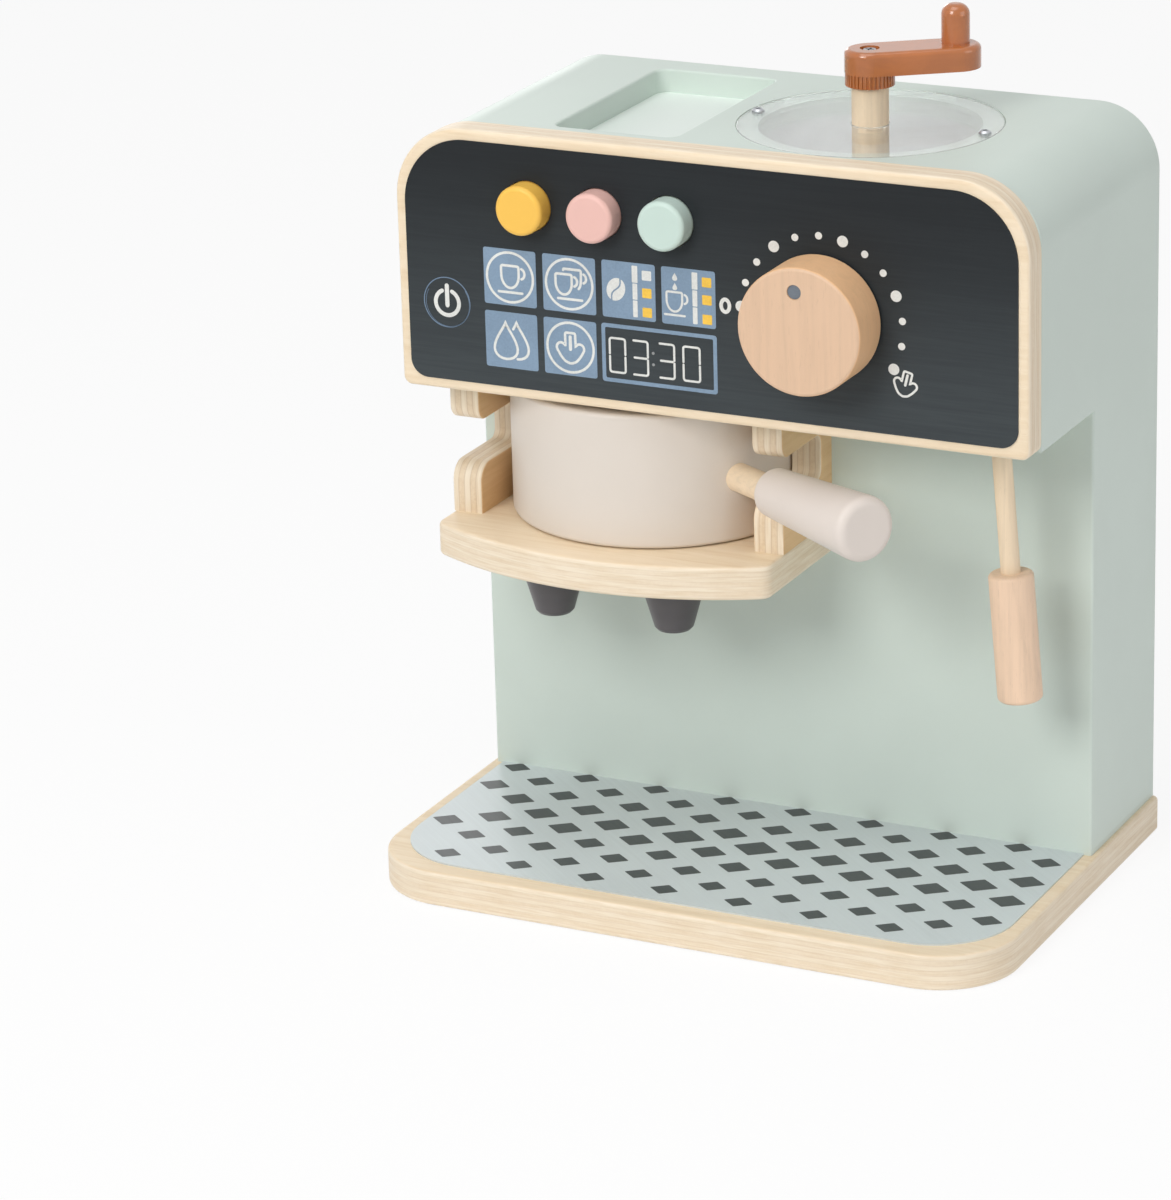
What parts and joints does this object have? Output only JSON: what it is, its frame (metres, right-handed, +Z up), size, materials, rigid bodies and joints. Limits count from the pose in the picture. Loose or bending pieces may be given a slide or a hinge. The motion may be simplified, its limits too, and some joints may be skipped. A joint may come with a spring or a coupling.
{
  "type": "toy coffee maker",
  "caption": "Wooden toy coffee maker with push buttons, a turning dial, a hopper crank, a swinging filter handle, spouts under a shelf, a steam wand and a printed drip sheet.",
  "frame": {"origin": "middle of the base board's underside", "axes": "+Z up, -Y towards the user at the control panel, +X to the user's right"},
  "size_m": [0.224, 0.154, 0.289],
  "materials": {
    "plywood": "clear satin varnish over birch plywood",
    "mint_paint": "satin mint paint",
    "inner_board": "bare board",
    "dark_print": "printed film, dark brushed look",
    "sheet_print": "printed film, silver grey with dark diamonds",
    "beech": "fine sanded beech, clear satin",
    "yellow_paint": "satin yellow paint",
    "pink_paint": "satin pink paint",
    "pale_mint_paint": "satin pale mint paint",
    "sand_paint": "satin sand paint",
    "spout_grey": "moulded, satin",
    "caramel": "moulded, glossy",
    "clear_acrylic": "clear acrylic",
    "hopper_shell": "moulded, pale grey",
    "zinc_steel": "bright zinc"
  },
  "bodies": {
    "housing": {"base_board": "plywood", "drip_sheet": "sheet_print", "base_screws": "zinc_steel", "side_left": "mint_paint", "side_right": "mint_paint", "shoulder_left": "mint_paint", "shoulder_right": "mint_paint", "top_board": "mint_paint", "cup_rest_floor": "mint_paint", "back_board": "mint_paint", "column_front": "mint_paint", "head_floor": "mint_paint", "front_panel": "plywood", "panel_face": "dark_print", "spring_rail": "inner_board", "button_spring_left": "zinc_steel", "button_spring_middle": "zinc_steel", "button_spring_right": "zinc_steel", "hopper_cup": "hopper_shell", "hopper_window": "clear_acrylic", "window_screws": "zinc_steel", "shelf": "plywood", "bracket_left": "plywood", "bracket_right": "plywood", "spout_left": "spout_grey", "spout_right": "spout_grey", "wand_block": "inner_board", "wand_pin": "zinc_steel"},
    "button_left": {"button_left": "yellow_paint"},
    "button_middle": {"button_middle": "pink_paint"},
    "button_right": {"button_right": "pale_mint_paint"},
    "dial": {"dial_knob": "beech", "dial_spindle": "beech", "dial_washer": "zinc_steel", "dial_screw": "zinc_steel"},
    "crank": {"crank_shaft": "beech", "crank_washer": "zinc_steel", "crank_foot_screw": "zinc_steel", "crank_arm": "caramel", "crank_screw": "zinc_steel", "crank_peg": "caramel"},
    "filter": {"filter_drum": "sand_paint", "filter_handle": "beech", "filter_grip": "sand_paint"},
    "wand": {"wand_rod": "beech", "wand_grip": "beech"}
  },
  "joints": [
    {"name": "button_left_press", "type": "slide", "parent": "housing", "child": "button_left", "axis": [0, 1, 0], "range_m": [0, 0.003], "stiffness_N_per_m": 150, "springref_m": -0.002, "deforming": ["button_spring_left"]},
    {"name": "button_middle_press", "type": "slide", "parent": "housing", "child": "button_middle", "axis": [0, 1, 0], "range_m": [0, 0.003], "stiffness_N_per_m": 150, "springref_m": -0.002, "deforming": ["button_spring_middle"]},
    {"name": "button_right_press", "type": "slide", "parent": "housing", "child": "button_right", "axis": [0, 1, 0], "range_m": [0, 0.003], "stiffness_N_per_m": 150, "springref_m": -0.002, "deforming": ["button_spring_right"]},
    {"name": "dial_turn", "type": "hinge", "parent": "housing", "child": "dial", "pos_m": [0.0403, -0.037, 0.205], "axis": [0, 1, 0], "range_deg": [-81, 122]},
    {"name": "crank_turn", "type": "hinge", "parent": "housing", "child": "crank", "pos_m": [0.0308, 0.0246, 0.24], "axis": [0, 0, 1], "continuous": true},
    {"name": "filter_swing", "type": "hinge", "parent": "housing", "child": "filter", "pos_m": [-0.0418, 0.0135, 0.1396], "axis": [0, 0, -1], "range_deg": [0, 115]},
    {"name": "wand_swing", "type": "hinge", "parent": "housing", "child": "wand", "pos_m": [0.088, -0.009, 0.178], "axis": [0, -1, 0], "range_deg": [-18, 15]}
  ]
}
